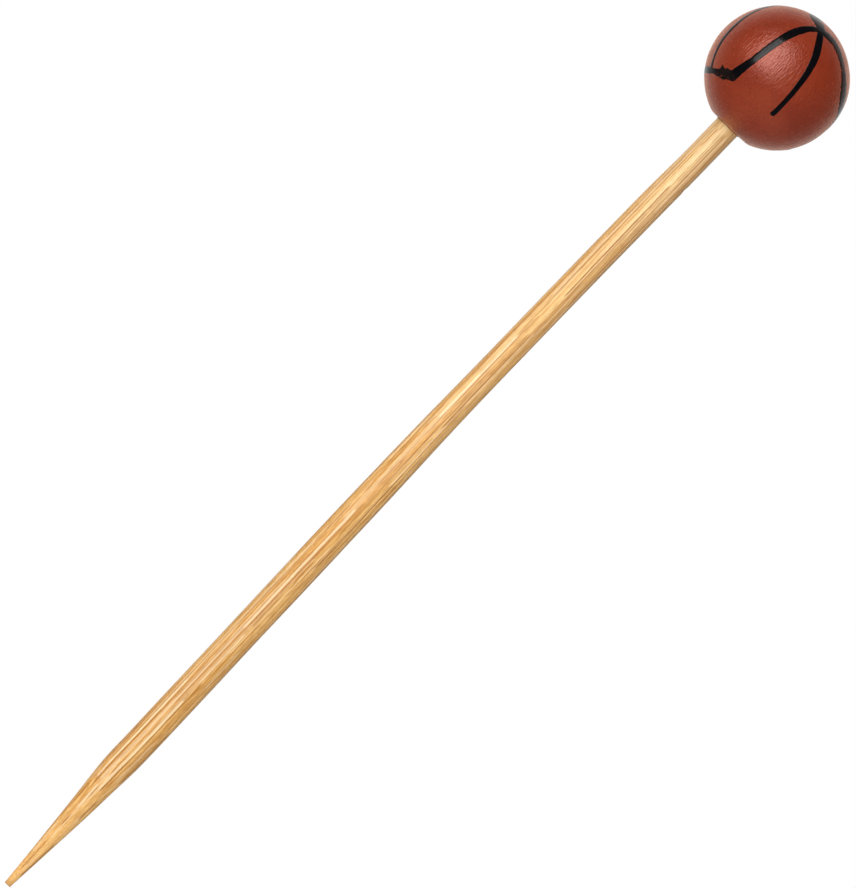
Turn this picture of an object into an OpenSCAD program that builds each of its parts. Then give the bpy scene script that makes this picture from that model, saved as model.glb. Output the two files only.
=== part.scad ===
// Bamboo cocktail pick: a pointed bamboo stick glued into a painted wooden ball.
// It is modelled upright, as it stands in food. The origin is on the stick's axis, at the
// middle of the straight shank, and +Z runs up the stick to the ball. Heights are in
// millimetres above the tip until raise() moves them to that origin.

/* [Pick] */
// Length from the tip to the crown of the ball
overall_length = 120; // [110:1:180]

/* [Stick] */
// Width of the blunt tip
tip_d = 0.65; // [0.4:0.05:1.2]
// Radius of the worn edge round the tip
tip_round = 0.15; // [0.05:0.01:0.19]
// Length of the tapered point, up to where its cone meets the shank
point_length = 16.5; // [10:0.5:22]
// Length of the soft shoulder, on each side of where the cone meets the shank
shoulder = 3; // [0.5:0.25:6]
// Diameter of the straight shank
shank_d = 3.2; // [2.9:0.05:4]
// Length of the shank above the point
shank_length = 34; // [15:0.5:40]
// Length over which the shank slims to the neck
waist_length = 22.5; // [10:0.5:25]
// Diameter of the neck
neck_d = 2.8; // [2.5:0.05:3.4]
// Length over which the neck slims to the tenon, just below the ball
run_in = 8; // [3:0.5:12]
// Diameter of the tenon that is glued into the ball
tenon_d = 2.65; // [2:0.05:3.2]
// Chamfer at the end of the tenon
tenon_chamfer = 0.3; // [0.1:0.05:0.6]

/* [Ball] */
// Diameter over the paint
ball_d = 14.7; // [12:0.1:18]
// Diameter of the flat spot round the hole
flat_d = 4.8; // [4.4:0.1:6]
// Depth of the hole, from the flat spot to where the drill's cone starts
bore_depth = 9; // [5:0.5:10]
// Angle of the drill's point
drill_angle = 118; // [90:1:140]
// Thickness of the coat of paint
coat = 0.1; // [0.05:0.01:0.2]

/* [Glue] */
// Gap all round the tenon, filled with glue
glue_gap = 0.1; // [0.05:0.01:0.2]
// Thickness of the pad of glue above the end of the tenon
glue_pad = 0.4; // [0.1:0.05:1]
// Radius of the fillet of glue round the mouth of the hole
glue_fillet = 0.25; // [0.1:0.05:0.4]

/* [Seam strokes] */
// Thickness of the black paint
seam = 0.06; // [0.04:0.01:0.12]
// Bare gap between strokes where they meet
stroke_gap = 0.1; // [0.05:0.01:0.3]
// Width of the strokes that meet on the crown
crown_w = 0.7; // [0.5:0.05:1]
// Width of the dot at the foot of a crown stroke, where the other strokes start
hub_w = 1.4; // [1.1:0.05:1.8]
// Width of the long strokes
long_w = 0.8; // [0.5:0.05:1]
// Width of the dot at the foot of a long stroke, where it turns into a band
kink_w = 1.2; // [1.05:0.05:1.6]
// Width of the broad bands
band_w = 1; // [0.6:0.05:1.3]
// Width of the strokes along the sides
side_w = 0.75; // [0.5:0.05:1]
// Width of the short strokes
short_w = 0.6; // [0.4:0.05:0.8]
// Width of the round free end of a short stroke
short_end_w = 0.7; // [0.65:0.05:1]

/* [Hidden] */
$fn = 96;

// Pieces that are cut reach past each other by this much
past = 1;
// Steps in a rounded stretch of a profile
curve_steps = 8;

ball_r = ball_d / 2;
ball_z = overall_length - ball_r;
// How far the flat spot is below the middle of the ball
flat_h = sqrt(ball_r * ball_r - flat_d * flat_d / 4);
mouth_z = ball_z - flat_h;
bore_r = tenon_d / 2 + glue_gap;
tenon_top = mouth_z + bore_depth - glue_pad;
shank_top = point_length + shank_length;
waist_top = shank_top + waist_length;
neck_top = mouth_z - glue_fillet - run_in;
// Height of the origin: the middle of the straight shank
grip_z = point_length + (shoulder + shank_length) / 2;

// Seam strokes are arcs over the ball, each through three points of [latitude, longitude]
// in degrees: start, middle and end. Latitude 90 is the crown, and longitude 0 faces -Y
// and grows towards +X. The back has the front's strokes turned half round the stick.
hub = [62, -3];
hub_back = [62, 177];
crown_route = [hub, [75, -38], [90, 0]];
long_route = [hub, [28, -22], [-30, -31]];
band_route = [[-30, -31], [-32, -61], [-36, -92]];
short_route = [hub, [23, 16], [-24, 20]];
side_left_route = [[-32, -61], [17, -72], hub_back];
side_right_route = [hub, [42, 60], [-32, 102]];
// Length left off a stroke that meets a hub, a kink or a band
from_hub = hub_w / 2 + stroke_gap;
from_kink = kink_w / 2 + stroke_gap;
from_band = band_w / 2 + stroke_gap;

function unit(v) = v / norm(v);
function on_ball(p) = [cos(p[0]) * sin(p[1]), -cos(p[0]) * cos(p[1]), sin(p[0])];

// Quadratic curve from a to c that is drawn towards b
function bend(a, b, c) = [for (i = [0 : curve_steps]) let (t = i / curve_steps)
    (1 - t) * (1 - t) * a + 2 * t * (1 - t) * b + t * t * c];
// Soft step between two radii of the stick, from one height to another
function soft_step(r0, z0, r1, z1) = [for (i = [0 : curve_steps]) let (t = i / curve_steps)
    [r1 + (r0 - r1) * (1 + cos(180 * t)) / 2, z0 + (z1 - z0) * t]];
// Arc round a centre, from one angle to another
function arc(centre, r, from, to) = [for (i = [0 : curve_steps])
    let (a = from + (to - from) * i / curve_steps) centre + r * [cos(a), sin(a)]];

module raise(z) { translate([0, 0, z - grip_z]) children(); }

// Outline of the stick from the axis at the tip to the axis at the top of the tenon
module stick_outline() {
    slope = (shank_d - tip_d) / 2 / point_length;
    corner = [shank_d / 2, point_length];
    tenon_r = tenon_d / 2;
    polygon(concat(
        [[0, 0]],
        arc([tip_d / 2 - tip_round, tip_round], tip_round, -90, -atan(slope)),
        bend(corner - shoulder * [slope, 1], corner, corner + [0, shoulder]),
        soft_step(shank_d / 2, shank_top, neck_d / 2, waist_top),
        soft_step(neck_d / 2, neck_top, tenon_r, neck_top + run_in),
        [[tenon_r, tenon_top - tenon_chamfer], [tenon_r - tenon_chamfer, tenon_top], [0, tenon_top]]));
}

// Drilled hole, from a height at or below the mouth up to the point of the drill's cone
module bore(from) {
    cone_z = mouth_z + bore_depth;
    rotate_extrude() polygon([[0, from], [bore_r, from], [bore_r, cone_z],
        [0, cone_z + bore_r / tan(drill_angle / 2)]]);
}

// Ball with its flat spot, set in from the painted surface by a depth
module ball_form(inset) {
    difference() {
        translate([0, 0, ball_z]) sphere(ball_r - inset);
        translate([0, 0, mouth_z + inset - past]) cylinder(d = 2 * flat_d, h = past);
    }
}

module bamboo_stick() {
    color("burlywood") raise(0) rotate_extrude() stick_outline();
}

module wooden_ball() {
    color("tan") raise(0) difference() {
        ball_form(coat);
        bore(mouth_z - past);
    }
}

module paint_coat() {
    color("sienna") raise(0) difference() {
        ball_form(0);
        ball_form(coat);
        bore(mouth_z - past);
    }
}

// Glue sleeve and pad in the hole, and its hollow fillet round the stick at the mouth
module glue_bond() {
    fillet_r = tenon_d / 2 + glue_fillet;
    color("wheat") raise(0) difference() {
        union() {
            bore(mouth_z);
            rotate_extrude() polygon(concat([[0, mouth_z], [0, mouth_z - glue_fillet]],
                arc([fillet_r, mouth_z - glue_fillet], glue_fillet, 180, 90)));
        }
        rotate_extrude() stick_outline();
    }
}

// Film of black paint on the ball, as far as the pieces under it reach
module film() {
    color("black") raise(ball_z) intersection() {
        difference() {
            sphere(ball_r + seam);
            sphere(ball_r);
        }
        union() children();
    }
}

// Wedge under a stroke along an arc, with some length left off its start and its end
module arc_wedge(route, width, off_start, off_end) {
    a = on_ball(route[0]);
    b = on_ball(route[1]);
    c = on_ball(route[2]);
    axis = unit(cross(b - a, c - b));
    tilt = acos(axis * a);
    x = unit(a - axis * (axis * a));
    y = cross(axis, x);
    sweep = (360 + atan2(c * y, c * x)) % 360;
    per_mm = 180 / PI / (ball_r * sin(tilt));
    half = asin(width / 2 / ball_r);
    multmatrix([[x[0], y[0], axis[0], 0], [x[1], y[1], axis[1], 0], [x[2], y[2], axis[2], 0], [0, 0, 0, 1]])
        rotate(off_start * per_mm)
            rotate_extrude(angle = sweep - (off_start + off_end) * per_mm)
                polygon([for (p = [[-1, -1], [-1, 1], [1, 1], [1, -1]])
                    (ball_r + p[0] * past) * [sin(tilt + p[1] * half), cos(tilt + p[1] * half)]]);
}

// Round post under a dot of paint at a point of the ball
module dot_post(place, width) {
    rotate([0, 90 - place[0], place[1] - 90])
        translate([0, 0, ball_r - past]) cylinder(d = width, h = 2 * past);
}

module half_turn() { rotate(180) children(); }

module seam_crown_front() {
    film() {
        arc_wedge(crown_route, crown_w, 0, stroke_gap / 2);
        dot_post(hub, hub_w);
    }
}

module seam_crown_back() { half_turn() seam_crown_front(); }

module seam_long_front() {
    film() {
        arc_wedge(long_route, long_w, from_hub, 0);
        dot_post(long_route[2], kink_w);
    }
}

module seam_long_back() { half_turn() seam_long_front(); }

module seam_band_left() {
    film() arc_wedge(band_route, band_w, from_kink, 0);
}

module seam_band_right() { half_turn() seam_band_left(); }

module seam_side_left() {
    film() arc_wedge(side_left_route, side_w, from_band, from_hub);
}

module seam_side_right() {
    film() arc_wedge(side_right_route, side_w, from_hub, from_band);
}

module seam_short_front() {
    film() {
        arc_wedge(short_route, short_w, from_hub, 0);
        dot_post(short_route[2], short_end_w);
    }
}

module seam_short_back() { half_turn() seam_short_front(); }

bamboo_stick();
wooden_ball();
glue_bond();
paint_coat();
seam_crown_front();
seam_crown_back();
seam_long_front();
seam_long_back();
seam_band_left();
seam_band_right();
seam_side_left();
seam_side_right();
seam_short_front();
seam_short_back();
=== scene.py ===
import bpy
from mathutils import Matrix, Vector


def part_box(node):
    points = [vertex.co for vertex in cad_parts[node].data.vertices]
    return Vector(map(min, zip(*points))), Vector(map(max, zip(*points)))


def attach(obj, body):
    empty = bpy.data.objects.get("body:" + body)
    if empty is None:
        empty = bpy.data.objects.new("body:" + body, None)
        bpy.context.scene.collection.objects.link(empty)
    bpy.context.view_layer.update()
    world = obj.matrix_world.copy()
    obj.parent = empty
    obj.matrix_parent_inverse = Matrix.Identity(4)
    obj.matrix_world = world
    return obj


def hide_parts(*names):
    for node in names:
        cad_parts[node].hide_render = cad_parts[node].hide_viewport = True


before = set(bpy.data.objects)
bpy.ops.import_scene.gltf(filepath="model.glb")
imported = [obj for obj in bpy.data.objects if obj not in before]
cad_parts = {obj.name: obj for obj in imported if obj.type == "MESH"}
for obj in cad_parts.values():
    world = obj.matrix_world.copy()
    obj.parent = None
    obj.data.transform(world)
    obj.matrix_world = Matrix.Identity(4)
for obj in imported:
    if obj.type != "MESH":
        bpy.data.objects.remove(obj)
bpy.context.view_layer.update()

# Looks of a bamboo cocktail pick: a fibrous, slightly bowed stick in a painted ball with brushed seam lines.
# Everything is in metres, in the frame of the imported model: +Z runs up the stick, and -Y faces the camera.

import math
from random import Random

import bmesh
import bpy
import numpy as np
from mathutils import Matrix, Vector, noise

MM = 0.001

# Sizes that the frame gives. The shank is a little thicker in the photograph than in the solid.
SHANK_SHARE = 1.018
stick_low, stick_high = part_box("bamboo_stick")
coat_low, coat_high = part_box("paint_coat")
TIP_Z = stick_low[2]
TENON_TOP = stick_high[2]
SHANK_R = SHANK_SHARE * (stick_high[0] - stick_low[0]) / 2
BALL_R = (coat_high[0] - coat_low[0]) / 2
BALL_Z = coat_high[2] - BALL_R
MOUTH_Z = coat_low[2]
FLAT_H = BALL_Z - MOUTH_Z
BALL_CENTRE = Vector((0, 0, BALL_Z))

# Sizes of the stick, heights above the tip
TIP_R = 0.36 * MM
POINT_LENGTH = 16.5 * MM
SHANK_TOP = 50.5 * MM
WAIST_TOP = 73 * MM
NECK_R = 1.445 * MM
NECK_TOP = MOUTH_Z - TIP_Z - 8.25 * MM
TENON_R = 1.38 * MM
SHOULDER_SOFTNESS = 0.13 * MM

# The bow of the stick towards -X: at the tip, at its deepest and at the ball
BOW_TIP = 0.05 * MM
BOW_DEEPEST = 0.56 * MM
BOW_BALL = 0.2 * MM
BOW_START = 4 * MM
BOW_HEIGHT = 62 * MM
# The shoulder of the point leans out a little more, round this height
SHOULDER_LEAN = 0.08 * MM
SHOULDER_HEIGHT = 15 * MM
SHOULDER_SPREAD = 3 * MM
# Dips in the neck: height, half length, longitude in degrees and depth. The first is a nick.
NECK_DIPS = [
    (98 * MM, 0.3 * MM, 85, 0.055 * MM),
    (100.2 * MM, 3.6 * MM, -88, 0.085 * MM),
]

STICK_SIDES = 288
STICK_STEP = 0.22 * MM
# Rings that close the tip and the end of the tenon, as shares of the radius
TIP_RINGS = (0.02, 0.4, 0.7, 0.9)
END_RINGS = (0.8, 0.4, 0.02)
# Heights of the close rings at the tip's edge and of the first even ring, and the gap left below the end
TIP_EDGE = [0.03 * MM, 0.07 * MM, 0.12 * MM]
FIRST_RING = 0.25 * MM
END_GAP = 0.1 * MM
# The cut end of the tip is frayed: how far up this reaches, how far it shifts the skin along the stick, and
# its waves round the stick and per mm from the middle
FRAY_HEIGHT = 0.6 * MM
FRAY_LIFT = 0.06 * MM
FRAY_AROUND = 2.5
FRAY_OUT = 3
# Fibres are laid out on at least this radius, so that the thin tip still shows some
LEAST_SPREAD = 0.4 * SHANK_R

# The stick was planed: it has six soft faces, and its grain swings a little round it as it rises.
# The swing is written as heights in mm and degrees.
FACE_ANGLE = 60
FACE_SHARE = 0.2
GRAIN_SWING = [(0, 0), (35, 0), (50, 3), (62, 1), (80, 0), (97, -8), (114, -15)]
# Lines that the photograph shows: longitude in the grain, first and last height, half width in mm and
# darkness, or paleness below 0. The first ones are on the point, where the cutter left short ends of fibre.
SEEN_LINES = [
    (54, 1.3, 6.5, 0.13, 0.75),
    (20, 2, 4.5, 0.1, -0.3),
    (-13, 2, 6.3, 0.09, 0.6),
    (-45, 4, 8.5, 0.12, -0.5),
    (-70, 5, 12, 0.1, 0.5),
    (-12, 8, 9.7, 0.08, 0.8),
    (38, 8.8, 10.3, 0.1, -0.6),
    (43, 9.5, 12.5, 0.12, 0.6),
    (-11, 10.3, 14, 0.1, -0.8),
    (-50, 10.5, 13.5, 0.08, 0.7),
    (-3, 11.8, 14, 0.06, 0.6),
    (4, 12, 13.5, 0.08, -0.6),
    (16, 13.2, 28.5, 0.075, 0.85),
    (7, 13, 26, 0.12, -0.9),
    (7, 28, 35, 0.1, -0.6),
    (-29, 13.2, 24, 0.075, 0.85),
    (-28, 24, 35, 0.07, 0.5),
    (-36, 14, 28, 0.11, -0.85),
    # Partly painted highlight: this wide pale line lies along the stick's lit stripe
    (-15, 14, 36, 0.2, -0.5),
    (30, 16, 42, 0.45, 0.13),
    (27, 13.5, 16, 0.08, 0.5),
    (-55, 13.5, 16, 0.1, -0.6),
    (-56, 15, 24, 0.14, 0.35),
    (62, 15, 22.5, 0.13, 0.7),
    (38, 15.7, 20.5, 0.1, -0.5),
    (36, 24, 35, 0.09, 0.45),
    (-5, 25, 36, 0.06, 0.4),
    (-3.5, 35.5, 53, 0.06, 0.75),
    (-12, 35, 52, 0.14, -0.8),
    (-38, 35, 52, 0.085, 0.55),
    (-57, 35, 55, 0.2, 0.25),
    (55, 42, 70, 0.45, 0.13),
    (7.5, 35.7, 40, 0.08, 0.6),
    (7.5, 41.8, 45, 0.08, 0.7),
    (21.5, 41.5, 46, 0.07, 0.5),
    (30, 44.5, 58, 0.085, 0.85),
    (30, 57, 66, 0.07, 0.5),
    # Partly painted highlight: this wide pale line lies along the stick's lit stripe
    (-20, 50, 66, 0.2, -0.4),
    (44, 53.5, 66, 0.12, 0.4),
    (24, 55.5, 77.2, 0.1, -0.6),
    (-45, 57, 66, 0.09, 0.6),
    (-55, 57.5, 64, 0.1, -0.55),
    (-9.5, 58, 58.8, 0.09, 0.9),
    (17.8, 63.5, 77, 0.075, 0.7),
    (5.5, 64.5, 72, 0.06, 0.4),
    (-21.5, 64, 76, 0.14, -0.95),
    (-12.5, 66.5, 79, 0.065, 0.55),
    (-52, 66, 92, 0.2, 0.25),
    (35.5, 70, 78, 0.08, 0.35),
    (52, 81, 98, 0.09, 0.75),
    (-32, 81, 94, 0.085, -0.7),
    (9, 81.7, 97.5, 0.065, 0.95),
    (19, 84, 97, 0.06, 0.4),
    (14, 84, 98, 0.06, -0.4),
    (-23, 84.5, 94, 0.075, 0.6),
    (62, 85, 100, 0.06, 0.6),
    # Partly painted highlight: this wide pale line lies along the stick's lit stripe
    (-0.5, 87, 105, 0.13, -0.35),
    (30, 88, 105, 0.05, 0.5),
    (45, 90, 105, 0.05, -0.5),
    (26, 90, 104, 0.05, -0.5),
    (34, 97, 105, 0.05, 0.6),
    (40, 94, 105, 0.08, -0.6),
    (-46, 96, 100, 0.09, -0.5),
    (57, 96.5, 105, 0.12, 0.6),
    (-38, 97, 101, 0.08, 0.7),
    (-13, 98.8, 101.5, 0.06, 0.7),
    (-13.5, 102.4, 105, 0.06, 0.7),
    (-25, 98, 105, 0.06, 0.4),
    (-33, 93.5, 105, 0.13, -0.55),
    (22, 98, 105, 0.06, 0.5),
]
# Other lines are drawn at random, in mm. They are fainter on the side that the photograph shows.
SEEN_SIDE = 68
FAINT = 0.5
LINE_SEED = 12
LINE_COUNT = 360
LINE_STARTS = (5, 100)
LINE_LENGTHS = (3, 30)
LINE_HALVES = (0.035, 0.085)
LINE_FADE = 0.5
DARK_SHARE = 0.62
DARK_SHADES = (0.25, 0.95)
PALE_SHADES = (0.4, 1.0)
PALE_BREADTH = 1.3
# Pits are short dark lines
PIT_COUNT = 50
PIT_STARTS = (1, 104)
PIT_LENGTHS = (0.3, 0.9)
PIT_HALVES = (0.03, 0.06)
# Relief of the lines: pale ones stand out and dark ones are grooves, less so where the stick is thin
LINE_RIDGE = 0.006 * MM
LINE_GROOVE = 0.009 * MM
LEAST_RELIEF = 0.2
# Waves of the skin: waves per mm across and along the grain, seed and height
SKIN_WAVES = [
    (1.1, 0.015, 3.1, 0.014 * MM),
    (4.5, 0.03, 11.7, 0.009 * MM),
    (0.35, 0.1, 41.3, 0.022 * MM),
]

# The coat of paint on the ball
COAT = 0.1 * MM
HOLE_R = 1.425 * MM
FLAT_SOFTNESS = 0.12 * MM
BALL_SIDES = 240
BALL_RINGS = 150
INNER_RINGS = 37
# The first ring is this close to the pole, in radians
POLE_ANGLE = 0.002
# Roughness of the ball's skin: waves over the ball and height
BALL_WAVES = [
    (4.5, 0.012 * MM),
    (14, 0.004 * MM),
    (42, 0.0015 * MM),
]

# The glue: a fillet at the mouth and a sleeve in the hole
GLUE_SIDES = 96
GLUE_CLEARANCE = 0.003 * MM
SLEEVE_WALL = 0.03 * MM
FILLET_DROP = 0.12 * MM
FILLET_WAVES = 0.04 * MM
FILLET_REACH = 0.07 * MM
FILLET_LAP = 0.04 * MM
MOUTH_LAP = 0.05 * MM
GLUE_LIP = 0.02 * MM
SLEEVE_BEVEL = 0.3 * MM
# The pad above the tenon rises into the drill's cone and leaves a thin core open
GLUE_PAD = 0.4 * MM
CONE_RISE = 0.6 * MM
CORE_SHARE = 0.2

# Black paint
FILM = 0.02 * MM
FILM_SINK = 0.006 * MM
FILM_UNDER = 1.5 * FILM_SINK
FILM_COLUMNS = 14
FILM_STEP = 0.07 * MM
LEAST_ROWS = 12
# Steps of a stroke's path between two points of its route, and those that its heading spans each way
PATH_STEPS = 40
HEADING_STEPS = 3
# Uneven edges: waves per mm, how far the two edges lie from the seed, place in the noise, and strength
EDGE_WAVES = [
    (1.3, 5.3, 0.4, 0.3),
    (5.5, 9.1, 1.7, 0.4),
]
# Bristle ridges: waves per mm across and along the stroke, and share of the film
BRISTLE_ACROSS = 9
BRISTLE_ALONG = 0.5
BRISTLE_SHARE = 0.25
# A higher power makes the film flatter, with steeper edges
DOME_POWER = 5
# The square of the least share of its width that a stroke keeps at its round ends
LEAST_END = 0.0004
# Each stroke has its own place in the noise, this far from the last one's
SEED_STEP = 13.7

# The light that the world gives, and what gloss sees of it
ROOM_LIGHT = 0.28
TABLE_LIGHT = 0.9
SWEEP_LIGHT = 1.3
ROOM_GLOSS = 0.03
TABLE_GLOSS = 0.15
SWEEP_GLOSS = 0.73
# The white sweep comes in between these cosines of the angle to its middle
SWEEP_EDGE = (0.45, 0.95)
# Softboxes: direction from the pick, width, height, watts, and whether plain light and gloss show them
LAMP_DISTANCE = 0.6
LAMPS = {
    "key": ((-0.365, -0.851, 0.378), 0.54, 0.54, 2.45, True, False),
    "fill": ((0.0, -1.0, 0.05), 0.3, 0.3, 1.0, True, False),
    "top": ((-0.3, -0.4, 0.87), 0.3, 0.3, 1.0, True, False),
    "shine": ((-0.49, -0.775, 0.395), 0.38, 0.58, 2.3, False, True),
}


def ease(t):
    """Smooth step from 0 to 1 as t goes from 0 to 1."""
    t = min(max(t, 0.0), 1.0)
    return t * t * (3 - 2 * t)


def soft_min(a, b, softness):
    """The lesser of two values, rounded over where they are close."""
    near = max(softness - abs(a - b), 0.0) / softness
    return min(a, b) - near * near * softness / 4


def on_ball(latitude, longitude):
    """Direction from the ball's centre. Longitude 0 faces the camera and grows towards +X."""
    la, lo = math.radians(latitude), math.radians(longitude)
    return Vector((math.cos(la) * math.sin(lo), -math.cos(la) * math.cos(lo), math.sin(la)))


def streaks(x, y, z, across, along, seed):
    """Noise that is fine across the grain and long along Z. Scales are in waves per millimetre."""
    return noise.noise(Vector((x * across / MM + seed, y * across / MM, z * along / MM)))


def add_piece(name, points, faces, nodes, material, attributes):
    """Makes a smooth mesh that stands for CAD nodes and rides on the pick."""
    mesh = bpy.data.meshes.new(name)
    mesh.from_pydata(points, [], faces)
    work = bmesh.new()
    work.from_mesh(mesh)
    bmesh.ops.recalc_face_normals(work, faces=work.faces)
    work.to_mesh(mesh)
    work.free()
    mesh.shade_smooth()
    for label, values in attributes.items():
        if isinstance(values[0], float):
            mesh.attributes.new(label, "FLOAT", "POINT").data.foreach_set("value", values)
        else:
            flat = [number for value in values for number in value]
            mesh.attributes.new(label, "FLOAT_VECTOR", "POINT").data.foreach_set("vector", flat)
    mesh.materials.append(material)
    piece = bpy.data.objects.new(name, mesh)
    bpy.context.scene.collection.objects.link(piece)
    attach(piece, "root")
    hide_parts(*nodes)


def tube_faces(rings, sides):
    """Quads between rings of points, closed round."""
    return [
        (r * sides + s, r * sides + (s + 1) % sides, (r + 1) * sides + (s + 1) % sides, (r + 1) * sides + s)
        for r in range(rings - 1)
        for s in range(sides)
    ]


class Nodes:
    """Short calls to build the node tree of a material or a world."""

    def __init__(self, owner):
        owner.use_nodes = True
        self.owner = owner
        self.tree = owner.node_tree
        self.shader = self.tree.nodes.get("Principled BSDF")

    def add(self, kind, inputs=None, **settings):
        node = self.tree.nodes.new(kind)
        for key, value in settings.items():
            setattr(node, key, value)
        for key, value in (inputs or {}).items():
            self.put(node.inputs[key], value)
        return node

    def put(self, socket, value):
        if isinstance(value, bpy.types.NodeSocket):
            self.tree.links.new(value, socket)
        else:
            socket.default_value = value

    def attribute(self, name):
        return self.add("ShaderNodeAttribute", attribute_name=name)

    def scaled(self, vector, scale):
        return self.add("ShaderNodeMapping", {"Vector": vector, "Scale": scale}).outputs["Vector"]

    def noise(self, vector, scale, detail, roughness):
        inputs = {"Vector": vector, "Scale": scale, "Detail": detail, "Roughness": roughness}
        return self.add("ShaderNodeTexNoise", inputs).outputs["Fac"]

    def ramp(self, value, stops):
        node = self.add("ShaderNodeValToRGB", {"Fac": value})
        elements = node.color_ramp.elements
        while len(elements) < len(stops):
            elements.new(0.5)
        for element, (place, colour) in zip(elements, stops):
            element.position = place
            element.color = (*colour, 1.0)
        return node.outputs["Color"]

    def span(self, value, low, high, to_low=0.0, to_high=1.0):
        inputs = {"Value": value, "From Min": low, "From Max": high, "To Min": to_low, "To Max": to_high}
        return self.add("ShaderNodeMapRange", inputs).outputs["Result"]

    def math(self, operation, a, b):
        node = self.add("ShaderNodeMath", operation=operation)
        self.put(node.inputs[0], a)
        self.put(node.inputs[1], b)
        return node.outputs["Value"]

    def mix(self, factor, a, b, blend="MIX"):
        node = self.add("ShaderNodeMix", data_type="RGBA", blend_type=blend)
        self.put(node.inputs["Factor"], factor)
        self.put(node.inputs["A"], a)
        self.put(node.inputs["B"], b)
        return node.outputs["Result"]

    def choose(self, factor, a, b):
        """a where the factor is 0, and b where it is 1."""
        node = self.add("ShaderNodeMix", data_type="FLOAT")
        self.put(node.inputs["Factor"], factor)
        self.put(node.inputs["A"], a)
        self.put(node.inputs["B"], b)
        return node.outputs["Result"]

    def bump(self, height, strength, distance, normal=None):
        node = self.add("ShaderNodeBump", {"Height": height, "Strength": strength, "Distance": distance})
        if normal is not None:
            self.put(node.inputs["Normal"], normal)
        return node.outputs["Normal"]

    def surface(self, **sockets):
        for name, value in sockets.items():
            self.put(self.shader.inputs[name.replace("_", " ")], value)
        return self.owner


def rgb(red, green, blue):
    return (red, green, blue, 1.0)


def bamboo_material():
    """Bare bamboo: cream and ochre fibres along the stick, brown vessel lines, pale lines that partly paint
    the lit stripe as highlight, and a worn tip.
    """
    n = Nodes(bpy.data.materials.new("bamboo"))
    grain = n.attribute("grain").outputs["Vector"]
    dark = n.attribute("dark").outputs["Fac"]
    pale = n.attribute("pale").outputs["Fac"]
    height = n.add("ShaderNodeSeparateXYZ", {"Vector": grain}).outputs["Z"]

    def fibres(across, along, roughness=0.5):
        """Noise along the grain, in waves per metre."""
        return n.noise(n.scaled(grain, (across, across, along)), 1.0, 2.0, roughness)

    def tinted(colour, tip_share, share, fibre, stops):
        """The colour multiplied by a ramp of the fibres, less strongly at the tip."""
        factor = n.span(height, 2 * MM, 10 * MM, tip_share, share)
        return n.mix(factor, colour, n.ramp(fibre, stops), "MULTIPLY")

    body = [(0.36, (0.665, 0.345, 0.092)), (0.5, (0.723, 0.403, 0.126)), (0.64, (0.77, 0.461, 0.169))]
    strands = [(0.38, (0.9, 0.8, 0.64)), (0.5, (0.97, 0.95, 0.9)), (0.62, (1.04, 1.1, 1.2))]
    threads = [(0.42, (0.77, 0.66, 0.5)), (0.56, (1.04, 1.07, 1.12))]
    flecks = [(0.4, (0.83, 0.77, 0.66)), (0.58, (1.07, 1.1, 1.16))]
    cream = rgb(0.74, 0.605, 0.37)
    golden = rgb(0.88, 0.52, 0.19)
    pale_fibre_and_highlight = rgb(0.85, 0.665, 0.42)
    vessel = rgb(0.3, 0.1, 0.012)
    worn = rgb(0.36, 0.19, 0.075)

    strand = fibres(3400, 36)
    thread = fibres(8000, 90, 0.6)
    colour = n.ramp(fibres(1100, 16), body)
    colour = tinted(colour, 0.6, 0.9, strand, strands)
    colour = tinted(colour, 0.4, 0.9, thread, threads)
    colour = tinted(colour, 0.4, 0.8, fibres(7000, 800), flecks)
    colour = n.mix(n.span(height, 55 * MM, 105 * MM, 0.0, 0.3), colour, cream)
    colour = n.mix(n.span(height, 17 * MM, 8 * MM, 0.0, 0.35), colour, golden)
    # Pale lines: mostly pale fibres, and along the stick's lit stripe partly painted highlight
    colour = n.mix(n.math("MULTIPLY", pale, 0.85), colour, pale_fibre_and_highlight)
    colour = n.mix(n.math("MULTIPLY", dark, 0.9), colour, vessel)
    colour = n.mix(n.span(height, 0.8 * MM, 0.0, 0.0, 0.5), colour, worn)
    rough = n.span(strand, 0.3, 0.7, 0.6, 0.44)
    normal = n.bump(thread, n.span(height, 7 * MM, 15 * MM, 0.0, 0.5), 0.012 * MM)
    return n.surface(Base_Color=colour, Roughness=rough, Normal=normal, Specular_IOR_Level=0.27)


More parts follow.
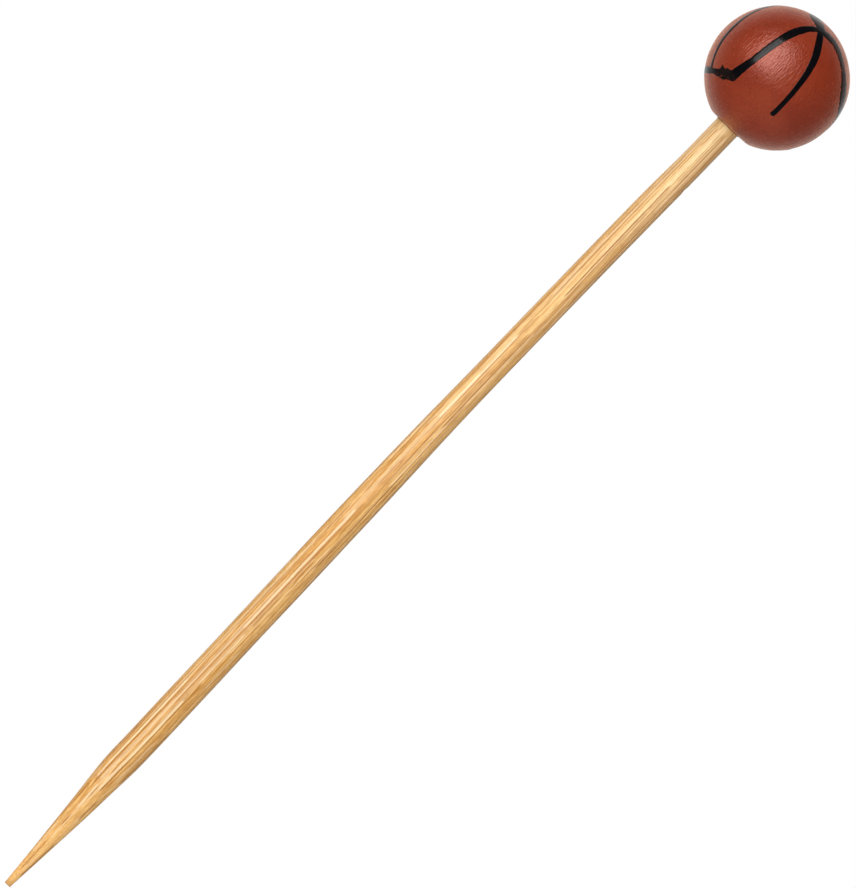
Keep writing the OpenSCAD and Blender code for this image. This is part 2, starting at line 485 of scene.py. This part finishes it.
def paint_material():
    """Red-brown satin paint over turned wood: a fine skin with grain along the stick, pores, specks and
    painted shade round the mouth of the hole.
    """
    n = Nodes(bpy.data.materials.new("red_brown_paint"))
    place = n.add("ShaderNodeTexCoord").outputs["Object"]
    base = [(0.32, (0.2, 0.021, 0.006)), (0.5, (0.223, 0.026, 0.008)), (0.7, (0.247, 0.033, 0.011))]
    pore = rgb(0.15, 0.014, 0.005)
    speck = rgb(0.5, 0.15, 0.08)
    painted_mouth_shade = rgb(0.1, 0.012, 0.005)
    mouth = (0, 0, MOUTH_Z)

    peel = n.noise(place, 5200.0, 3.0, 0.6)
    grain = n.noise(n.scaled(place, (6000, 6000, 850)), 1.0, 2.0, 0.55)
    specks = n.noise(place, 4600.0, 1.0, 0.5)
    off_mouth = n.add("ShaderNodeVectorMath", {0: place, 1: mouth}, operation="DISTANCE").outputs["Value"]
    colour = n.ramp(n.noise(place, 260.0, 3.0, 0.5), base)
    colour = n.mix(n.span(grain, 0.4, 0.28, 0.0, 0.45), colour, pore)
    colour = n.mix(n.span(specks, 0.76, 0.8, 0.0, 0.5), colour, speck)
    # Painted shade: the paint darkens towards the mouth of the hole, where the stick meets the ball
    colour = n.mix(n.span(off_mouth, 1.8 * MM, 5 * MM, 0.6, 0.0), colour, painted_mouth_shade)
    rough = n.span(peel, 0.3, 0.7, 0.2, 0.28)
    normal = n.bump(peel, 1.0, 0.026 * MM, n.bump(grain, 1.0, 0.062 * MM))
    n.surface(IOR=1.65, Specular_IOR_Level=1.0, Specular_Tint=rgb(1.0, 0.55, 0.47))
    n.surface(Sheen_Weight=0.5, Sheen_Roughness=0.31, Sheen_Tint=rgb(1.0, 0.48, 0.25))
    return n.surface(Base_Color=colour, Roughness=rough, Normal=normal)


def black_material():
    """Black brushed paint: bristle streaks along the stroke, and red specks where the brush ran dry."""
    n = Nodes(bpy.data.materials.new("black_paint"))
    brush = n.attribute("brush").outputs["Vector"]
    dry = n.attribute("dry").outputs["Fac"]
    bristles = n.noise(n.scaled(brush, (9000, 700, 1000)), 1.0, 3.0, 0.6)
    specks = n.noise(n.scaled(brush, (4200, 3000, 1000)), 1.0, 2.0, 0.6)
    colour = n.ramp(bristles, [(0.3, (0.001, 0.001, 0.0015)), (0.7, (0.003, 0.003, 0.004))])
    # Where the brush ran dry the black turns grey-brown; near the ball's limbs this grey is partly painted
    # reflection
    colour = n.mix(n.math("MULTIPLY", dry, 0.35), colour, rgb(0.055, 0.03, 0.02))
    bare = n.span(n.math("SUBTRACT", specks, n.math("MULTIPLY", dry, 0.17)), 0.32, 0.26)
    colour = n.mix(bare, colour, rgb(0.1, 0.016, 0.008))
    rough = n.span(bristles, 0.3, 0.7, 0.2, 0.12)
    normal = n.bump(bristles, 0.6, 0.012 * MM)
    n.surface(Sheen_Weight=0.06, Sheen_Roughness=0.3, Sheen_Tint=rgb(0.7, 1.0, 0.8))
    return n.surface(Base_Color=colour, Roughness=rough, Normal=normal, Specular_IOR_Level=0.33)


def glue_painted_shade_material():
    """Dried wood glue, coloured dark brown so that its fillet at the mouth paints the shade where the stick
    enters the ball.
    """
    n = Nodes(bpy.data.materials.new("glue"))
    place = n.add("ShaderNodeTexCoord").outputs["Object"]
    cloud = n.noise(place, 1500.0, 3.0, 0.6)
    # Painted shade: these dark browns stand for the shade in the joint as well as for the glue
    colour = n.ramp(cloud, [(0.35, (0.2, 0.056, 0.018)), (0.7, (0.33, 0.12, 0.045))])
    rough = n.span(cloud, 0.3, 0.7, 0.25, 0.45)
    return n.surface(Base_Color=colour, Roughness=rough, Normal=n.bump(cloud, 0.2, 0.02 * MM))


def ball_wood_material():
    """Turned pale wood, with rings round the drilled hole and pores along the grain."""
    n = Nodes(bpy.data.materials.new("ball_wood"))
    place = n.add("ShaderNodeTexCoord").outputs["Object"]
    rings = n.noise(n.scaled(place, (700, 700, 60)), 1.0, 4.0, 0.6)
    pores = n.noise(n.scaled(place, (5000, 5000, 500)), 1.0, 2.0, 0.5)
    colour = n.ramp(rings, [(0.3, (0.5, 0.33, 0.18)), (0.7, (0.72, 0.53, 0.33))])
    colour = n.mix(n.span(pores, 0.38, 0.3, 0.0, 0.6), colour, rgb(0.33, 0.2, 0.1))
    return n.surface(Base_Color=colour, Roughness=0.7, Normal=n.bump(pores, 0.3, 0.02 * MM))


def stick_radius(height):
    """Radius of the stick at a height above the tip: point, shank, waist, neck and tenon."""
    cone = TIP_R + (SHANK_R - TIP_R) * height / POINT_LENGTH
    body = SHANK_R + (NECK_R - SHANK_R) * ease((height - SHANK_TOP) / (WAIST_TOP - SHANK_TOP))
    body += (TENON_R - NECK_R) * ease((height - NECK_TOP) / (MOUTH_Z - TIP_Z - NECK_TOP))
    return soft_min(cone, body, SHOULDER_SOFTNESS)


def stick_bow(height):
    """How far the stick's middle lies towards -X at a height above the tip."""
    if height < BOW_HEIGHT:
        share = max(height - BOW_START, 0.0) / (BOW_HEIGHT - BOW_START)
        lean = SHOULDER_LEAN * math.exp(-(((height - SHOULDER_HEIGHT) / SHOULDER_SPREAD) ** 2))
        return BOW_TIP + (BOW_DEEPEST - BOW_TIP) * (share + ease(share)) / 2 + lean
    share = min((height - BOW_HEIGHT) / (MOUTH_Z - TIP_Z - BOW_HEIGHT), 1.0)
    return BOW_DEEPEST + (BOW_BALL - BOW_DEEPEST) * share * share


def from_middle(angles, middle):
    """Angles from a middle, in degrees from -180 to 180."""
    return (angles - middle + 180) % 360 - 180


def vessel_lines(random):
    """Thin lines of the bamboo, written as in SEEN_LINES."""
    lines = list(SEEN_LINES)
    for _ in range(LINE_COUNT):
        start = random.uniform(*LINE_STARTS)
        length = random.uniform(*LINE_LENGTHS)
        middle = random.uniform(-180, 180)
        half = random.uniform(*LINE_HALVES)
        strength = FAINT if abs(middle) < SEEN_SIDE else 1.0
        if random.random() < DARK_SHARE:
            shade = strength * random.uniform(*DARK_SHADES)
        else:
            shade = -strength * random.uniform(*PALE_SHADES)
            half *= PALE_BREADTH
        lines.append((middle, start, start + length, half, shade))
    for _ in range(PIT_COUNT):
        start = random.uniform(*PIT_STARTS)
        length = random.uniform(*PIT_LENGTHS)
        lines.append((random.uniform(-180, 180), start, start + length, random.uniform(*PIT_HALVES), 1.0))
    return lines


def line_shades(heights, across, radius):
    """Darkness and paleness of the lines, on a grid of heights (rows) and longitudes (columns)."""
    dark, pale = np.zeros_like(across), np.zeros_like(across)
    for middle, first, last, half, shade in vessel_lines(Random(LINE_SEED)):
        off = np.radians(from_middle(across, middle)) * radius / (half * MM)
        starting = np.clip((heights / MM - first) / LINE_FADE, 0, 1)
        ending = np.clip((last - heights / MM) / LINE_FADE, 0, 1)
        line = np.exp(-(off**4)) * (starting * ending)[:, None] * abs(shade)
        if shade > 0:
            dark = np.maximum(dark, line)
        else:
            pale = np.maximum(pale, line)
    return dark, pale


def stick_skin(heights, angles):
    """Radius and lines of the skin, on a grid of heights (rows) and longitudes (columns)."""
    radius = np.array([stick_radius(h) for h in heights])[:, None]
    swing = np.interp(heights / MM, *zip(*GRAIN_SWING))[:, None]
    across = from_middle(angles[None, :], swing)
    face = from_middle(across % FACE_ANGLE, FACE_ANGLE / 2)
    flat = np.cos(math.radians(FACE_ANGLE / 2)) / np.cos(np.radians(face))
    relief = radius * FACE_SHARE * (flat - flat.mean())
    dark, pale = line_shades(heights, across, radius)
    relief += (LINE_RIDGE * pale - LINE_GROOVE * dark) * np.minimum(radius / SHANK_R + LEAST_RELIEF, 1)
    for row, height in enumerate(heights):
        share = radius[row, 0] / SHANK_R
        for column, angle in enumerate(np.radians(across[row])):
            u, v = math.sin(angle) * SHANK_R, math.cos(angle) * SHANK_R
            for *wave, size in SKIN_WAVES:
                relief[row, column] += share * size * streaks(u, v, height, *wave)
    for height, half, side, depth in NECK_DIPS:
        along = np.exp(-(((heights - height) / half) ** 2))
        around = np.clip(np.cos(np.radians(angles - side)), 0, 1) ** 3
        relief -= depth * along[:, None] * around[None, :]
    return radius + relief, dark, pale, across


def build_stick(material):
    """The bamboo stick, ring by ring from the blunt tip to the end of the tenon."""
    length = TENON_TOP - TIP_Z
    even = list(np.arange(FIRST_RING, length - END_GAP, STICK_STEP))
    heights = np.array([0.0] * len(TIP_RINGS) + TIP_EDGE + even + [length] * (len(END_RINGS) + 1))
    shares = np.ones(len(heights))
    shares[: len(TIP_RINGS)] = TIP_RINGS
    shares[-len(END_RINGS):] = END_RINGS
    angles = np.arange(STICK_SIDES) * 360 / STICK_SIDES
    radius, dark, pale, across = stick_skin(heights, angles)
    points, straight = [], []
    for row, height in enumerate(heights):
        bow = stick_bow(height)
        fray = FRAY_LIFT * ease(1 - height / FRAY_HEIGHT)
        for column, angle in enumerate(np.radians(angles)):
            x, y = math.sin(angle), -math.cos(angle)
            out = radius[row, column] * shares[row]
            lift = fray * noise.noise(Vector((FRAY_AROUND * x, -FRAY_AROUND * y, out / MM * FRAY_OUT)))
            points.append(Vector((x * out - bow, y * out, TIP_Z + height + lift)))
            grain = math.radians(across[row, column])
            fibre = max(out, LEAST_SPREAD)
            straight.append(Vector((math.sin(grain) * fibre, -math.cos(grain) * fibre, height)))
    rings = len(heights)
    faces = tube_faces(rings, STICK_SIDES)
    faces.append(tuple(range(STICK_SIDES)))
    faces.append(tuple(range((rings - 1) * STICK_SIDES, rings * STICK_SIDES)))
    attributes = {"grain": straight, "dark": dark.ravel().tolist(), "pale": pale.ravel().tolist()}
    add_piece("bamboo_stick_fibrous", points, faces, ["bamboo_stick"], material, attributes)


# Slow lumps of the hand-turned ball: direction as latitude and longitude, height and spread
BALL_LUMPS = [
    (-10, 90, -0.07 * MM, 26),
    (31, 90, 0.07 * MM, 22),
    (20, -80, -0.05 * MM, 30),
    (65, 20, 0.03 * MM, 30),
    (5, 200, 0.06 * MM, 40),
]


def ball_radius(direction):
    """Distance from the ball's centre to its painted skin: a lumpy sphere with a flat spot at the hole."""
    radius = BALL_R
    for latitude, longitude, height, spread in BALL_LUMPS:
        off = math.degrees(direction.angle(on_ball(latitude, longitude)))
        radius += height * math.exp(-((off / spread) ** 2))
    for waves, height in BALL_WAVES:
        radius += height * noise.noise(direction * waves)
    # Only the underside comes near the flat spot
    if direction.z < -0.5:
        radius = soft_min(radius, FLAT_H / -direction.z, FLAT_SOFTNESS)
    return radius


def build_ball(material):
    """The coat of paint: an outer skin, the edge of the hole and a plain inner skin."""
    hole_angle = math.pi - math.atan(HOLE_R / FLAT_H)
    points = []

    def add_ring(polar, depth):
        for side in range(BALL_SIDES):
            turn = 2 * math.pi * side / BALL_SIDES
            flat = math.sin(polar)
            way = Vector((flat * math.cos(turn), flat * math.sin(turn), math.cos(polar)))
            points.append(BALL_CENTRE + way * (ball_radius(way) - depth))

    for ring in range(BALL_RINGS + 1):
        add_ring(POLE_ANGLE + (hole_angle - POLE_ANGLE) * ring / BALL_RINGS, 0.0)
    for ring in range(INNER_RINGS + 1):
        add_ring(hole_angle + (POLE_ANGLE - hole_angle) * ring / INNER_RINGS, COAT)
    rings = len(points) // BALL_SIDES
    faces = tube_faces(rings, BALL_SIDES)
    faces.append(tuple(range(BALL_SIDES)))
    faces.append(tuple(range((rings - 1) * BALL_SIDES, rings * BALL_SIDES)))
    add_piece("paint_coat_skin", points, faces, ["paint_coat"], material, {})


def glue_profile(turn):
    """Outline of the glue on one side of the leaning stick: distance from the axis and height."""
    bow = stick_bow(MOUTH_Z - TIP_Z)
    lean = -bow * math.sin(turn)
    stick = lean + math.sqrt(TENON_R**2 - bow**2 + lean**2)
    hole = HOLE_R - GLUE_CLEARANCE
    core = CORE_SHARE * hole
    sleeve = min(stick, HOLE_R - SLEEVE_WALL)
    rim = max(HOLE_R + MOUTH_LAP, stick + FILLET_REACH)
    drop = FILLET_DROP + FILLET_WAVES * noise.noise(Vector((math.sin(turn), math.cos(turn), 5)) * 2)
    return [
        (stick - FILLET_LAP, MOUTH_Z - drop),
        (stick + GLUE_LIP, MOUTH_Z - 0.8 * drop),
        (0.5 * (stick + rim), MOUTH_Z - 0.35 * drop),
        (rim, MOUTH_Z - 0.6 * GLUE_LIP),
        (rim - GLUE_LIP, MOUTH_Z + 0.5 * GLUE_LIP),
        (hole, MOUTH_Z + GLUE_LIP),
        (hole, TENON_TOP + GLUE_PAD),
        (core, TENON_TOP + GLUE_PAD + CONE_RISE),
        (core, TENON_TOP + GLUE_LIP),
        (sleeve - SLEEVE_BEVEL, TENON_TOP + GLUE_LIP),
        (sleeve, TENON_TOP - SLEEVE_BEVEL),
        (sleeve, MOUTH_Z + MOUTH_LAP),
    ]


def build_glue(material):
    """The glue: a fillet round the stick at the mouth, a sleeve in the hole and a pad above the tenon."""
    turns = [2 * math.pi * side / GLUE_SIDES for side in range(GLUE_SIDES)]
    profiles = [glue_profile(turn) for turn in turns]
    rings = len(profiles[0])
    points = []
    for ring in range(rings):
        for turn, profile in zip(turns, profiles):
            out, z = profile[ring]
            points.append(Vector((math.sin(turn) * out, -math.cos(turn) * out, z)))
    faces = tube_faces(rings, GLUE_SIDES)
    last = (rings - 1) * GLUE_SIDES
    for side in range(GLUE_SIDES):
        after = (side + 1) % GLUE_SIDES
        faces.append((last + side, last + after, after, side))
    add_piece("glue_bond_fillet", points, faces, ["glue_bond"], material, {})


# Seam strokes: points of latitude, longitude, width in mm, raggedness and dryness, from 0 to 1
LONG = [
    (61.4, -4.0, 0.64, 0.35, 0.4),
    (56.9, -8.9, 0.84, 0.5, 0.2),
    (53.2, -11.8, 0.92, 0.35, 0.0),
    (50.2, -14.2, 0.86, 0.12, 0.0),
    (45.7, -16.3, 0.96, 0.1, 0.0),
    (36.4, -19.1, 1.0, 0.1, 0.0),
    (24.9, -20.6, 0.9, 0.12, 0.0),
    (13.8, -21.6, 0.86, 0.12, 0.0),
    (2.9, -22.9, 0.82, 0.12, 0.0),
    (-5.1, -24.2, 0.82, 0.12, 0.0),
    (-13, -26.4, 0.98, 0.12, 0.0),
    (-20.7, -28.9, 1.12, 0.15, 0.0),
    (-26.5, -30.9, 1.0, 0.3, 0.2),
]
BAND = [
    (-24.4, -25.4, 0.75, 0.2, 0.1),
    (-25, -30.6, 1.1, 0.3, 0.2),
    (-26.3, -35.3, 1.12, 0.4, 0.3),
    (-28.3, -41.5, 1.1, 0.5, 0.35),
    (-30.9, -48.7, 0.8, 0.5, 0.3),
    (-32.8, -56.8, 0.62, 0.3, 0.2),
    (-35, -67.2, 0.74, 0.2, 0.1),
    (-36.3, -78.1, 0.74, 0.2, 0.1),
    (-37.5, -92, 0.74, 0.2, 0.2),
]
SHORT = [
    (60.7, -1.2, 0.8, 0.1, 0.0),
    (54.5, 3.5, 0.85, 0.08, 0.0),
    (47.9, 6.9, 0.88, 0.06, 0.0),
    (41.4, 10.1, 0.9, 0.06, 0.0),
    (33.5, 12.9, 0.88, 0.06, 0.0),
    (20.7, 15.4, 0.75, 0.06, 0.0),
    (4.5, 16.9, 0.62, 0.06, 0.0),
    (-11.5, 18.1, 0.56, 0.06, 0.0),
    (-26.2, 19.4, 0.6, 0.05, 0.0),
]
# The high dryness of this stroke near the right limb is partly painted reflection of the black paint there
SIDE_RIGHT = [
    (61.7, -1.8, 1.1, 0.15, 0.0),
    (63.0, 14.5, 1.35, 0.3, 0.3),
    (61.7, 29.5, 1.42, 0.4, 0.5),
    (58.1, 39.8, 1.38, 0.5, 0.7),
    (53.4, 46.8, 1.25, 0.6, 0.8),
    (48.3, 51.4, 1.15, 0.6, 0.8),
    (42.2, 55.8, 1.25, 0.6, 0.7),
    (36, 60, 1.42, 0.5, 0.7),
    (30, 64.6, 1.6, 0.5, 0.7),
    (24.3, 70, 1.7, 0.5, 0.6),
    (17.8, 77, 1.65, 0.4, 0.5),
    (9, 87, 1.4, 0.2, 0.3),
    (-6, 98.5, 1.05, 0.2, 0.0),
    (-22, 106, 0.9, 0.2, 0.1),
    (-36, 109, 0.85, 0.2, 0.2),
]
SIDE_LEFT = [
    (-34, -61, 0.6, 0.2, 0.1),
    (-24, -63.6, 0.5, 0.15, 0.0),
    (-10, -65.6, 0.6, 0.15, 0.0),
    (6, -67.6, 0.62, 0.15, 0.0),
    (20, -71.4, 0.62, 0.15, 0.0),
    (33, -76.5, 0.7, 0.15, 0.0),
    (48, -89, 0.84, 0.15, 0.0),
    (60, -110, 0.8, 0.15, 0.0),
    (66, -145, 0.72, 0.15, 0.0),
    (62.5, -180, 0.75, 0.15, 0.0),
]
CROWN = [
    (60.1, -1.3, 0.9, 0.2, 0.0),
    (64.8, -5.9, 1.35, 0.3, 0.2),
    (69.2, -18, 1.5, 0.35, 0.5),
    (72.5, -36, 1.5, 0.35, 0.6),
    (76.5, -60, 1.4, 0.3, 0.5),
    (81.1, -90, 1.3, 0.3, 0.4),
    (83, -130, 1.1, 0.25, 0.2),
    (80, -165, 0.9, 0.2, 0.1),
]
CROWN_BACK = [
    (60.1, 178.7, 0.9, 0.2, 0.0),
    (65, 174, 1.1, 0.25, 0.1),
    (70.5, 173, 1.05, 0.25, 0.2),
    (76, 178, 0.95, 0.2, 0.1),
    (80.5, 192, 0.85, 0.2, 0.1),
]

# Where the brush dragged paint out of an edge: length along the stroke, side, reach and spread in mm
BAND_SPIKES = [
    (1.4, -1, 0.12, 0.15),
    (2.15, -1, 0.28, 0.26),
    (2.22, -1, 0.22, 0.1),
    (2.0, 1, 0.12, 0.7),
]


def half_turn(route):
    """The same stroke on the other side of the stick."""
    return [(latitude, longitude + 180, *rest) for latitude, longitude, *rest in route]


def through(values, place):
    """Smooth curve through a list of vectors or numbers, at a place counted in steps of the list."""
    i = min(int(place), len(values) - 2)
    t = place - i
    b, c = values[i], values[i + 1]
    a = values[i - 1] if i > 0 else b + (b - c)
    d = values[i + 2] if i + 2 < len(values) else c + (c - b)
    return (b * 2 + (c - a) * t + (a * 2 - b * 5 + c * 4 - d) * t**2 + (b * 3 - a - c * 3 + d) * t**3) * 0.5


def stroke_path(route):
    """Directions at close steps along a route over the ball, and the length up to each of them."""
    ways = [on_ball(latitude, longitude) for latitude, longitude, *_ in route]
    steps = PATH_STEPS * (len(ways) - 1)
    path = [through(ways, step / PATH_STEPS).normalized() for step in range(steps + 1)]
    lengths = [0.0]
    for a, b in zip(path, path[1:]):
        lengths.append(lengths[-1] + a.angle(b) * BALL_R)
    return path, lengths


def stroke_edges(along, half, ragged, spikes, seed):
    """How far the two edges of a stroke lie from its middle, at a length along it."""
    edges = []
    for sign in (-1, 1):
        uneven = 0.0
        for waves, away, layer, strength in EDGE_WAVES:
            uneven += strength * noise.noise(Vector((along / MM * waves, seed + sign * away, layer)))
        edges.append(sign * half * (1 + ragged * uneven))
    for place, sign, reach, spread in spikes:
        edges[(sign + 1) // 2] += sign * reach * MM * math.exp(-(((along / MM - place) / spread) ** 2))
    return edges


def film_faces(rows, columns):
    """Faces of a closed film: its top and underside, each of points in rows, and the walls between them."""
    wide = columns + 1
    under = (rows + 1) * wide
    faces = []
    for row in range(rows):
        for column in range(columns):
            a = row * wide + column
            faces.append((a, a + 1, a + wide + 1, a + wide))
            faces.append((under + a, under + a + wide, under + a + wide + 1, under + a + 1))
        for column in (0, columns):
            a = row * wide + column
            faces.append((a, a + wide, under + a + wide, under + a))
    for row in (0, rows):
        for column in range(columns):
            a = row * wide + column
            faces.append((a, a + 1, under + a + 1, under + a))
    return faces


def build_stroke(node, route, spikes, seed, material):
    """A domed film of paint along a route over the ball, with uneven edges, spikes and bristle ridges."""
    path, lengths = stroke_path(route)
    details = [Vector(point[2:5]) for point in route]
    total = lengths[-1]
    rows = max(int(total / FILM_STEP), LEAST_ROWS)
    points, brush, dryness = [], [], []
    step = 0
    for row in range(rows + 1):
        along = total * row / rows
        while step < len(lengths) - 2 and lengths[step + 1] < along:
            step += 1
        share = (along - lengths[step]) / max(lengths[step + 1] - lengths[step], 1e-12)
        way = path[step].lerp(path[step + 1], share).normalized()
        ahead = path[min(step + HEADING_STEPS, len(path) - 1)]
        side = way.cross((ahead - path[max(step - HEADING_STEPS, 0)]).normalized()).normalized()
        width, ragged, dry = through(details, (step + share) / PATH_STEPS)
        half = width * MM / 2
        to_end = min(along, total - along)
        if to_end < half:
            half *= math.sqrt(max(1 - (1 - to_end / half) ** 2, LEAST_END))
        left, right = stroke_edges(along, half, ragged, spikes, seed)
        for column in range(FILM_COLUMNS + 1):
            across = 2 * column / FILM_COLUMNS - 1
            off = left + (right - left) * column / FILM_COLUMNS
            spot = (way + side * (off / BALL_R)).normalized()
            dome = 1 - abs(across) ** DOME_POWER
            bristle = noise.noise(Vector((off / MM * BRISTLE_ACROSS, along / MM * BRISTLE_ALONG, seed)))
            film = FILM * (dome * (1 + BRISTLE_SHARE * bristle)) - FILM_SINK * (1 - dome)
            points.append(BALL_CENTRE + spot * (ball_radius(spot) + film))
            brush.append(Vector((off, along, seed * MM)))
            dryness.append(float(dry))
    under = []
    for place in points:
        way = (place - BALL_CENTRE).normalized()
        under.append(BALL_CENTRE + way * (ball_radius(way) - FILM_UNDER))
    faces = film_faces(rows, FILM_COLUMNS)
    attributes = {"brush": brush * 2, "dry": dryness * 2}
    add_piece(node + "_brushed", points + under, faces, [node], material, attributes)


STROKES = {
    "seam_crown_front": CROWN,
    "seam_crown_back": CROWN_BACK,
    "seam_long_front": LONG,
    "seam_long_back": half_turn(LONG),
    "seam_band_left": BAND,
    "seam_band_right": half_turn(BAND),
    "seam_side_left": SIDE_LEFT,
    "seam_side_right": SIDE_RIGHT,
    "seam_short_front": SHORT,
    "seam_short_back": half_turn(SHORT),
}


def build_camera():
    """The photograph's view: square to the stick, rolled so that the ball is at the upper right."""
    lens, sensor = 1000.0, 36.0
    view_height = 89.73 * MM
    aim = Vector((0, 0, TIP_Z + 61.57 * MM))
    roll = math.radians(46.37)
    distance = view_height * lens / sensor
    data = bpy.data.cameras.new("camera")
    data.lens, data.sensor_width = lens, sensor
    camera = bpy.data.objects.new("camera", data)
    right = Vector((math.sin(roll), 0, math.cos(roll)))
    up = Vector((-math.cos(roll), 0, math.sin(roll)))
    back = Vector((0, -1, 0))
    camera.matrix_world = Matrix((right, up, back)).transposed().to_4x4()
    camera.location = aim + back * distance
    data.clip_start, data.clip_end = 0.01, 20.0
    bpy.context.scene.collection.objects.link(camera)
    bpy.context.scene.camera = camera


def add_softbox(name, direction, width, height, power, in_plain_light, in_gloss):
    """A soft light that shines at the pick from a direction."""
    aim = Vector((0, 0, (TIP_Z + BALL_Z) / 2))
    away = Vector(direction).normalized()
    data = bpy.data.lights.new(name, "AREA")
    data.shape = "RECTANGLE"
    data.size = width
    data.size_y = height
    data.energy = power
    lamp = bpy.data.objects.new(name, data)
    lamp.location = aim + away * LAMP_DISTANCE
    lamp.rotation_mode = "QUATERNION"
    lamp.rotation_quaternion = (-away).to_track_quat("-Z", "Y")
    lamp.visible_diffuse = in_plain_light
    lamp.visible_glossy = in_gloss
    bpy.context.scene.collection.objects.link(lamp)


def ray_kinds(n):
    """Two switches: 1 for the camera's rays, and 1 for the rays of gloss and glass."""
    path = n.add("ShaderNodeLightPath")
    mirrored = n.math("MAXIMUM", path.outputs["Is Glossy Ray"], path.outputs["Is Transmission Ray"])
    return path.outputs["Is Camera Ray"], mirrored


def build_world():
    """A white background. Light and gloss come from a dim room, a table and a white sweep behind the pick."""
    world = bpy.data.worlds.new("studio")
    n = Nodes(world)
    way = n.add("ShaderNodeTexCoord").outputs["Generated"]

    def towards(x, y, z):
        """Cosine of the angle between a ray and a direction."""
        heading = Vector((x, y, z)).normalized()
        return n.add("ShaderNodeVectorMath", {0: way, 1: heading}, operation="DOT_PRODUCT").outputs["Value"]

    camera, mirrored = ray_kinds(n)
    light = n.span(towards(0.69, -0.2, -0.7), 0.0, 1.0, ROOM_LIGHT, TABLE_LIGHT)
    light = n.span(towards(-0.25, 0.95, 0.1), *SWEEP_EDGE, light, SWEEP_LIGHT)
    gloss = n.span(towards(0.69, 0, -0.72), 0.3, 1.0, ROOM_GLOSS, TABLE_GLOSS)
    gloss = n.span(towards(-0.1, 0.985, 0.02), *SWEEP_EDGE, gloss, SWEEP_GLOSS)
    background = n.tree.nodes["Background"]
    n.put(background.inputs["Color"], rgb(1, 1, 1))
    n.put(background.inputs["Strength"], n.choose(camera, n.choose(mirrored, light, gloss), 1.0))
    bpy.context.scene.world = world


def build_floor():
    """A pale floor under the tip that keeps the shadow and fades to white further out."""
    size, fade_start, fade_end, near_white = 4.0, 0.015, 0.07, 0.3
    bpy.ops.mesh.primitive_plane_add(size=size, location=(0, 0, TIP_Z))
    floor = bpy.context.object
    floor.name = "floor"
    n = Nodes(bpy.data.materials.new("floor"))
    place = n.add("ShaderNodeTexCoord").outputs["Object"]
    speckle = n.noise(place, 900.0, 2.0, 0.5)
    pale = n.ramp(speckle, [(0.3, (0.88, 0.88, 0.88)), (0.7, (0.9, 0.9, 0.9))])
    n.surface(Base_Color=pale, Roughness=0.9)
    length = n.add("ShaderNodeVectorMath", {0: place}, operation="LENGTH").outputs["Value"]
    seen = n.math("MAXIMUM", *ray_kinds(n))
    fade = n.math("MULTIPLY", n.span(length, fade_start, fade_end), seen)
    white = n.add("ShaderNodeEmission", {"Color": rgb(1, 1, 1), "Strength": 1.0})
    n.surface(Emission_Color=rgb(1, 1, 1), Emission_Strength=n.math("MULTIPLY", seen, near_white))
    blend = n.add("ShaderNodeMixShader", {0: fade, 1: n.shader.outputs[0], 2: white.outputs[0]})
    n.put(n.tree.nodes["Material Output"].inputs["Surface"], blend.outputs[0])
    floor.data.materials.append(n.owner)
    floor.visible_glossy = False


def dress_node(name, material):
    """Gives a CAD node its finish."""
    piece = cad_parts[name]
    piece.data.materials.clear()
    piece.data.materials.append(material)


build_camera()
build_stick(bamboo_material())
build_ball(paint_material())
black = black_material()
for number, (node, route) in enumerate(STROKES.items(), start=1):
    spikes = BAND_SPIKES if "band" in node else []
    build_stroke(node, route, spikes, SEED_STEP * number, black)
build_glue(glue_painted_shade_material())
dress_node("wooden_ball", ball_wood_material())

build_world()
for name, lamp in LAMPS.items():
    add_softbox(name, *lamp)
build_floor()

bpy.context.scene.view_settings.view_transform = "Standard"
